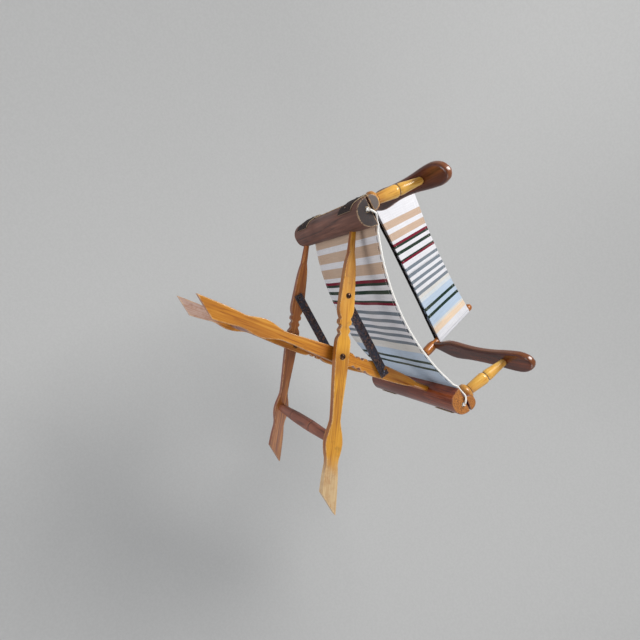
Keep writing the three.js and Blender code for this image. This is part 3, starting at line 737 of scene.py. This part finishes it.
def cord_route():
    """The cord's axis from hole to hole, just in front of the hem."""
    hem_y = SLING[LOW].y - CORD_R - 0.3 * MM
    hem = []
    for x in np.linspace(-HEM_REACH, HEM_REACH, 9):
        hem.append((x, hem_y, SEAT_LEVEL - SAG * (1 - (x / INNER_EDGE) ** 2)))
    right = [(x * MM, MIDDLE_Y + y * MM, z * MM) for x, y, z in CORD_END]
    left = [(-x, y, z) for x, y, z in right]
    return smooth_path([*left, *hem, *reversed(right)], CORD_STEP)


def knot_path(centre, radius):
    """A trefoil, for the overhand knot at the cord's end."""
    turn = np.linspace(0, 2 * math.pi, 90, endpoint=False)
    x = np.sin(turn) + 2 * np.sin(2 * turn)
    y = -1.1 * np.sin(3 * turn)
    z = np.cos(turn) - 2 * np.cos(2 * turn)
    return np.array(centre) + np.stack([x, y, z], 1) * radius / 3


# ---------------------------------------------------------------- the back band
SLEEVE_MID = 11.4 * MM  # radius of the sleeve's middle surface
TOP_DIP = 13 * MM  # how far the upper edge sags between the posts
LOW_RISE = 2 * MM
SHADED_EDGE_STRIP = 8 * MM  # painted shade: a near-black strip along the rear layer's lower edge, for the shade inside the band's tube
RIPPLE = 0.8 * MM
LAYER_SLACK = 2.2 * MM  # how far the two layers lean towards each other at the chair's middle
EDGE_SEAM = 9 * MM  # from a post's axis to the upright row of stitches
ON_END = 0.2 * MM  # how close to a turned piece's end its end face's points are


def post_line():
    """The right back post's axis as a function of height, through the middles of its two ends."""
    node = NODES["back_post_right"]
    along = axes_of(node)[1][0]
    points = np.array([v.co for v in node.data.vertices])
    far = points @ along
    foot, top = [Vector(points[np.abs(far - end) < ON_END].mean(0)) for end in (far.min(), far.max())]
    return lambda z: foot.lerp(top, (z - foot.z) / (top.z - foot.z))


POST_AT = post_line()


def band_edges(share):
    """Lower and upper height of the band; share is 0 at the chair's middle and 1 at the post."""
    hang = 1 - share**2
    return BAND[LOW].z + 1 * MM + LOW_RISE * hang, BAND[HIGH].z - 1 * MM - TOP_DIP * hang


def band_point(side, share, level, layer):
    """A point of one half's panel.

    share is 0 at the chair's middle and 1 at the post, level 0 at the lower edge and 1 at the upper one,
    and layer -1 in front and 1 behind.
    """
    low, high = band_edges(share)
    z = low + (high - low) * level
    post = POST_AT(z)
    ripple = RIPPLE * math.sin(9 * share + 5 * level + layer) * (1 - share) * share * 4
    slack = LAYER_SLACK * (1 - share**2) * layer * (0.3 + 0.7 * (1 - level))
    return (side * post.x * share, post.y + layer * SLEEVE_MID + ripple - slack, z)


def band_grid(place):
    """Columns, colours, levels and rows of one half of the band, and its width from middle to post."""
    half = POST_AT(BAND[LOW].z).x
    low, high = (0.0, half) if SIDES[place] > 0 else (-half, 0.0)
    flat_u, colours = stripe_columns(WHITE, BAND_STRIPES, low, high)
    rows = hem_rows(BAND[LOW].z, BAND[HIGH].z, 0.011)
    levels = (rows - BAND[LOW].z) / (BAND[HIGH].z - BAND[LOW].z)
    return flat_u, colours, levels, rows, half


def build_panel(place, material):
    """The flat part of one half, as two layers; the rear one is painted near black along its lower edge, as
    painted shade inside the band's tube.
    """
    flat_u, colours, levels, rows, half = band_grid(place)
    thick = np.broadcast_to(hem_thickness(rows), (len(flat_u), len(rows)))
    shade_rows = int(np.searchsorted(rows, rows[0] + SHADED_EDGE_STRIP))
    panel = Cloth()
    for layer in (-1, 1):
        def shade(column, row, rim, layer=layer):
            # painted shade: the rear layer's lowest rows are near black
            return srgb(*TUBE_SHADE) if layer > 0 and row < shade_rows else colours[column]

        points = [[band_point(SIDES[place], abs(u) / half, v, layer) for v in levels] for u in flat_u]
        panel.shell(np.array(points), flat_u, rows, thick, shade)
    return panel.build("band_panel_" + place, material, "stripe", "FLOAT_COLOR")


def build_sleeve(place, material):
    """The part of one half that goes round the outside of its post."""
    side = SIDES[place]
    _, colours, levels, rows, half = band_grid(place)
    edge_colour = colours[-1] if side > 0 else colours[0]
    turn = np.linspace(-math.pi / 2, math.pi / 2, 17)
    wrap = np.empty((len(turn), len(levels), 3))
    bottom, top = band_edges(1.0)
    for j, level in enumerate(levels):
        post = POST_AT(bottom + (top - bottom) * level)
        wrap[:, j, 0] = side * (post.x + SLEEVE_MID * np.cos(turn))
        wrap[:, j, 1] = post.y + SLEEVE_MID * np.sin(turn)
        wrap[:, j, 2] = post.z
    thick = np.broadcast_to(hem_thickness(rows), wrap.shape[:2])
    sleeve = Cloth()
    sleeve.shell(wrap, turn * SLEEVE_MID + half, rows, thick, lambda *_: edge_colour)
    return sleeve.build("band_sleeve_" + place, material, "stripe", "FLOAT_COLOR")


def on_band(side, share_at, level_at, layer):
    """A function that gives a point off one layer's outer face, and the normal there."""
    def place(s):
        point = Vector(band_point(side, share_at(s), level_at(s), layer))
        return point + Vector((0, layer * THREAD_OFF, 0)), Vector((0, layer, 0))
    return place


def band_stitches(place, thread):
    """A row along each hem and one beside the post, on both layers."""
    side = SIDES[place]
    half = POST_AT(BAND[LOW].z).x
    tall = BAND[HIGH].z - BAND[LOW].z
    tubes = []
    for layer in (-1, 1):
        for level in (SEAM_ROW / tall, 1 - SEAM_ROW / tall):
            along = on_band(side, lambda u: u / half, lambda u, level=level: level, layer)
            tubes += stitch_row(along, 2 * MM, half - 2 * MM)
        up = on_band(side, lambda z: 1 - EDGE_SEAM / half, lambda z: (z - BAND[LOW].z) / tall, layer)
        tubes += stitch_row(up, BAND[LOW].z + SEAM_END, BAND[HIGH].z - SEAM_END)
    return merge_tubes("band_stitches_" + place, tubes, thread)


# ---------------------------------------------------------------- leather hinges
ROUNDNESS = 2 / 2.3  # exponent of the rails' half-round sections
LEAF_OFF = 1.5 * MM  # middle of the leather from the wood
STRAP_THICK = 2.2 * MM
STRAP_LIFT = 5 * MM  # how far the stiff upper end stands off the arm rail
LIFTED_FROM = 0.72  # share of the strap's length where the lift starts
STRAP_STEP = 1.6 * MM
STRAP_INSET = 0.5 * MM  # its sides from the CAD leaf's
RAGGED = 0.5 * MM
THIN_EDGE = 0.7  # the share of its thickness at the cut edges


def section(half, deep, bulge, angle, centre_x, base_z):
    """A point LEAF_OFF outside a half-round rail section."""
    c, s = math.cos(angle), math.sin(angle)
    return (centre_x + c**ROUNDNESS * (half + LEAF_OFF), base_z + bulge * s**ROUNDNESS * (deep + LEAF_OFF))


def strap_line(place):
    """The strap's line in x and z, from the lower rail's side up over the seam onto the arm rail."""
    rail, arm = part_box("rail_right"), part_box("arm_rail_right")
    rail_half, rail_deep = (rail[HIGH].x - rail[LOW].x) / 2, rail[HIGH].z - rail[LOW].z
    arm_half, arm_high = (arm[HIGH].x - arm[LOW].x) / 2, arm[HIGH].z - arm[LOW].z
    lower = [section(rail_half, rail_deep, -1, a, RAIL_X, FLAT_Z) for a in np.linspace(0.95, 0.04, 12)]
    upper = [section(arm_half, arm_high, 1, a, ARM_RAIL_X, ARM_RAIL_Z) for a in np.linspace(0.04, 0.82, 9)]
    return np.array([(SIDES[place] * x, z) for x, z in [*lower, *upper]])


def strap_grid(place, end):
    """Points of a strap's middle surface, with its distances along and across."""
    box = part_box(f"hinge_lower_{place}_{end}")
    line = strap_line(place)
    far = np.concatenate([[0], np.cumsum(np.hypot(*np.diff(line, axis=0).T))])
    flat = np.arange(0, far[-1], STRAP_STEP)
    line = np.stack([np.interp(flat, far, line[:, k]) for k in (0, 1)], axis=1)
    across = np.linspace(box[LOW].y + STRAP_INSET, box[HIGH].y - STRAP_INSET, 26)
    grid = np.empty((len(line), len(across), 3))
    grid[:, :, 0], grid[:, :, 2] = line[:, 0:1], line[:, 1:2]
    grid[:, :, 1] = across
    outward = np.sign(across - across.mean())[None, :]
    ragged = RAGGED * np.sin(flat * 900 + 1.3)[:, None] * outward
    grid[:, [0, -1], 1] += ragged[:, [0, -1]]
    rise = np.clip((flat / flat[-1] - LIFTED_FROM) / (1 - LIFTED_FROM), 0, 1)[:, None] ** 1.5
    lift = STRAP_LIFT * rise * (1 + 0.15 * np.sin(across * 210)[None, :])
    grid[:, :, 0] += SIDES[place] * lift * math.sqrt(0.5)
    grid[:, :, 2] += lift * math.sqrt(0.5)
    return grid, flat, across


def build_strap(place, end, material):
    grid, flat, across = strap_grid(place, end)
    if SIDES[place] > 0:
        grid = grid[:, ::-1]
    thick = np.full(grid.shape[:2], STRAP_THICK)
    thick[:, [0, -1]] *= THIN_EDGE
    thick[[0, -1], :] *= THIN_EDGE
    cloth = Cloth()
    cloth.shell(grid, flat, across, thick, lambda column, row, rim: 1.0 if rim else 0.0)
    return cloth.build(f"strap_{place}_{end}", material, "raw_edge", "FLOAT")


# ---------------------------------------------------------------- looks of each CAD node
AMBER = ((132, 66, 14), (194, 124, 30), (216, 152, 56))
YELLOW = ((150, 86, 20), (212, 150, 40), (228, 174, 72))
RUBBED = (228, 190, 134)  # the legs' rubbed edges
# painted shade: side tones the legs' side faces darker, and pivot_shade_at paints shade round the pivot
# where the legs cross
LEG = {"side": (1, (112, 46, 18)), "pivot_shade_at": (0.335, 0.05), "wear": RUBBED}  # dark round the pivot
WOODS = [
    ("golden_leg_worn_foot", ["leg_a_front"],
     {**LEG, "tones": YELLOW, "gloss": 0.36, "coat": 0.25, "bare": (0.10, (204, 178, 136)),
      "wear_much": 0.75}),
    ("golden_leg", ["leg_b_front"],
     {**LEG, "tones": AMBER, "gloss": 0.34, "coat": 0.3, "wear_much": 0.7}),
    ("brown_leg", ["leg_a_rear"],
     {**LEG, "tones": ((96, 48, 22), (164, 96, 44), (200, 134, 68)), "gloss": 0.36, "coat": 0.25}),
    ("golden_leg_pale_foot", ["leg_b_rear"],
     {**LEG, "tones": AMBER, "gloss": 0.38, "coat": 0.25, "bare": (0.11, (182, 158, 148)),
      "wear_much": 0.7}),
    ("matte_brown_rail", ["rail_left"],
     {"tones": ((56, 34, 28), (98, 62, 51), (120, 80, 66)), "gloss": 0.62, "coat": 0.03,
      "end": (28, 28, 30), "wear": (205, 178, 142), "wear_much": 0.9}),
    ("matte_brown_arm_rail", ["arm_rail_left"],
     {"tones": ((58, 36, 28), (92, 62, 50), (116, 82, 66)), "gloss": 0.55, "coat": 0.1,
      "end": (84, 74, 68), "wear": (205, 166, 116), "wear_much": 0.9}),
    ("brown_stretcher", ["stretcher_a"],
     {"tones": ((76, 38, 26), (126, 72, 54), (150, 94, 70)), "gloss": 0.5, "coat": 0.1,
      "rings": ((0.117, 0.003), (0.249, 0.003))}),
    ("red_rail", ["rail_right", "arm_rail_right"],
     {"tones": ((60, 20, 8), (108, 44, 20), (150, 72, 32)), "gloss": 0.3, "coat": 0.35,
      "end": (196, 126, 56), "wear": (214, 160, 96)}),
    ("red_stretcher", ["stretcher_b"],
     {"tones": ((74, 30, 14), (124, 58, 28), (156, 84, 44)), "gloss": 0.34, "coat": 0.25,
      "rings": ((0.10, 0.003), (0.21, 0.003))}),
    # painted light and shade: side tones the armrests' edges lighter than their tops and undersides
    ("dark_armrest", ["armrest_left", "armrest_right"],
     {"tones": ((46, 16, 6), (88, 36, 14), (120, 56, 24)), "gloss": 0.26, "coat": 0.4,
      "side": (2, (112, 62, 26)), "wear": (190, 134, 80), "wear_much": 0.3}),
    # the bare entry paints the spindle's foot a darker amber-brown
    ("golden_spindle", ["spindle_left", "spindle_right"],
     {"tones": ((176, 108, 32), (230, 176, 76), (244, 204, 112)), "gloss": 0.3, "coat": 0.4,
      "rings": ((0.0885, 0.0022), (0.0335, 0.002)), "bare": (0.02, (138, 78, 32))}),
    ("amber_post", ["back_post_left", "back_post_right"],
     {"tones": ((108, 54, 16), (168, 98, 36), (198, 128, 54)), "gloss": 0.3, "coat": 0.4,
      "rings": ((0.031, 0.003), (0.110, 0.0035))}),
]  # (material, the nodes that take it, its looks)


def dress_frame():
    """Gives every rigid CAD node its material; the shift keeps two nodes' grain from being the same."""
    for i, (name, nodes, looks) in enumerate(WOODS):
        material = wood(name, **looks)
        for k, node in enumerate(nodes):
            carry(node, material, FAMILY_SHIFT * i + NODE_SHIFT * k)
    iron = metal("black_iron", (64, 66, 78), (130, 98, 86), 0.42, 0.7, 0.7, 260)
    bronze = metal("bronzed_steel", (92, 66, 50), (60, 34, 24), 0.3, 0.9, 0.4)
    for name in NODES:
        if name.startswith(("stay_front", "stay_rear", "stay_nut", "stay_stud")):
            carry(name, iron, 0.2)
        elif name.startswith(("pivot_", "stay_bolt", "tack_")):
            carry(name, bronze, 0.1)


# ---------------------------------------------------------------- soft pieces on their bodies
def add_knots(cotton_cord):
    for place in SIDES:
        low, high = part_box("cord_knot_" + place)
        loop = tube(knot_path((low + high) / 2, KNOT_R), KNOT_CORD_R, 8, closed=True)
        knot = merge_tubes("knot_" + place, [loop], cotton_cord)
        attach(knot, place + "_frame")
        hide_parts("cord_knot_" + place)


def add_seat(cotton_cord, thread):
    """The sling with its seams and the cord along its front hem; the cord's knots ride on their frames."""
    seat, flat = build_seat()
    dark_thread = cotton("dark_thread", (52, 50, 58), (30, 28, 34), THREAD_TWIST)
    stitches, long_stitches = seat_stitches(thread, dark_thread)
    rope = tube(cord_route(), CORD_R * CORD_SLIM, 12, twist=CORD_TWIST, lobes=CORD_LOBES)
    cord = merge_tubes("edge_cord_rope", [rope], cotton_cord)
    for piece in (seat, stitches, long_stitches, cord):
        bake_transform(piece)
    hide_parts("seat_sling")
    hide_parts("edge_cord")
    add_knots(cotton_cord)


def add_band(material, thread):
    """The band's halves: each panel, its stitches and its sleeve ride on their own arm."""
    for place, side in SIDES.items():
        panel = build_panel(place, material)
        sleeve = build_sleeve(place, material)
        stitches = band_stitches(place, thread)
        lean = POST_AT(BAND[HIGH].z) - POST_AT(BAND[LOW].z)
        axis = Vector((lean.z, 0, -lean.x)).normalized()
        axis.x *= side
        anchor = POST_AT(BAND[LOW].z)
        anchor.x *= side
        for piece in (panel, stitches):
            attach(piece, place + "_arm")
            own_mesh(piece)
        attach(sleeve, place + "_arm")
        for piece in (panel, sleeve):
            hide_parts("back_band_" + place)


def add_straps(material):
    """Each strap is shaped over the seam between its lower rail and its arm rail."""
    for place, side in SIDES.items():
        for end in ("front", "rear"):
            strap = build_strap(place, end, material)
            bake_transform(strap)
            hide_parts(f"hinge_lower_{place}_{end}", f"hinge_upper_{place}_{end}")


# ---------------------------------------------------------------- studio
ROOM_R = 1.75
ROOM_BACK = 0.5  # from the chair's middle to the room's, towards the camera
EYE = Vector((-0.3433, -1.0864, -0.1352))
VIEW_RIGHT = Vector((0.4700, -0.3951, 0.7901))
VIEW_UP = Vector((-0.8521, 0.0331, 0.5235))
VIEW_AHEAD = Vector((0.2327, 0.9182, 0.3207))
LENS_MM, SENSOR_MM = 26.53, 36.0
CENTRE = (CAD_BOX[0] + CAD_BOX[1]) / 2


def add_camera():
    camera = bpy.data.objects.new("camera", bpy.data.cameras.new("camera"))
    bpy.context.scene.collection.objects.link(camera)
    camera.data.lens = LENS_MM
    camera.data.sensor_width = SENSOR_MM
    camera.data.clip_start = 0.02
    turn = Matrix((VIEW_RIGHT, VIEW_UP, -VIEW_AHEAD)).transposed()
    camera.matrix_world = Matrix.Translation(EYE) @ turn.to_4x4()
    bpy.context.scene.camera = camera


def add_room():
    """One pale surface all round the chair. Its floor is far below, for a view from under the seat."""
    middle = CENTRE - VIEW_AHEAD * ROOM_BACK
    around, down = 96, 48
    points = [middle + Vector((0, 0, ROOM_R)), middle - Vector((0, 0, ROOM_R))]
    for j in range(1, down):
        tilt = math.pi * j / down
        for i in range(around):
            turn = 2 * math.pi * i / around
            level = Vector((math.cos(turn), math.sin(turn), 0)) * math.sin(tilt)
            points.append(middle + ROOM_R * (level + Vector((0, 0, math.cos(tilt)))))

    def ring(j, i):
        return 2 + (j - 1) * around + i % around

    faces = []
    for i in range(around):
        faces.append([0, ring(1, i + 1), ring(1, i)])
        faces.append([1, ring(down - 1, i), ring(down - 1, i + 1)])
        for j in range(1, down - 1):
            faces.append([ring(j, i), ring(j, i + 1), ring(j + 1, i + 1), ring(j + 1, i)])
    room = new_mesh("studio_floor_and_walls", points, faces, plaster())
    room.visible_diffuse = False
    room.visible_glossy = False
    room.visible_shadow = False


def add_light(name, offset, size, power, colour=(1, 1, 1)):
    """An area light aimed at the chair's middle; offset from it is along the view's right, up and ahead."""
    light = bpy.data.lights.new(name, "AREA")
    light.shape = "DISK"
    light.size = size
    light.energy = power
    light.color = colour
    lamp = bpy.data.objects.new(name, light)
    bpy.context.scene.collection.objects.link(lamp)
    away = VIEW_RIGHT * offset[0] + VIEW_UP * offset[1] + VIEW_AHEAD * offset[2]
    lamp.location = CENTRE + away
    lamp.rotation_mode = "QUATERNION"
    lamp.rotation_quaternion = (-away).to_track_quat("-Z", "Y")
    lamp.visible_camera = False


def add_studio():
    scene = bpy.context.scene
    scene.view_settings.view_transform = "Standard"
    world = bpy.data.worlds.new("studio")
    scene.world = world
    world.use_nodes = True
    background = world.node_tree.nodes["Background"]
    background.inputs["Color"].default_value = (0.95, 0.97, 1.0, 1)
    background.inputs["Strength"].default_value = 0.42
    add_light("key", (0.9, 0.9, -0.75), 0.7, 23, (1.0, 0.99, 0.97))
    add_light("fill", (-1.2, -0.2, -0.6), 1.0, 8)
    add_light("low", (0.5, -1.1, -0.5), 1.0, 5)
    add_room()


# ---------------------------------------------------------------- the scene
def main():
    add_camera()
    add_studio()
    dress_frame()
    thread = cotton("sewing_thread", (236, 234, 228), (190, 186, 180), THREAD_TWIST)
    add_seat(cotton("cotton_cord", (240, 238, 234), (186, 182, 176), CORD_TWIST), thread)
    add_band(canvas("band_canvas"), thread)
    add_straps(leather())
    bpy.context.view_layer.update()


main()
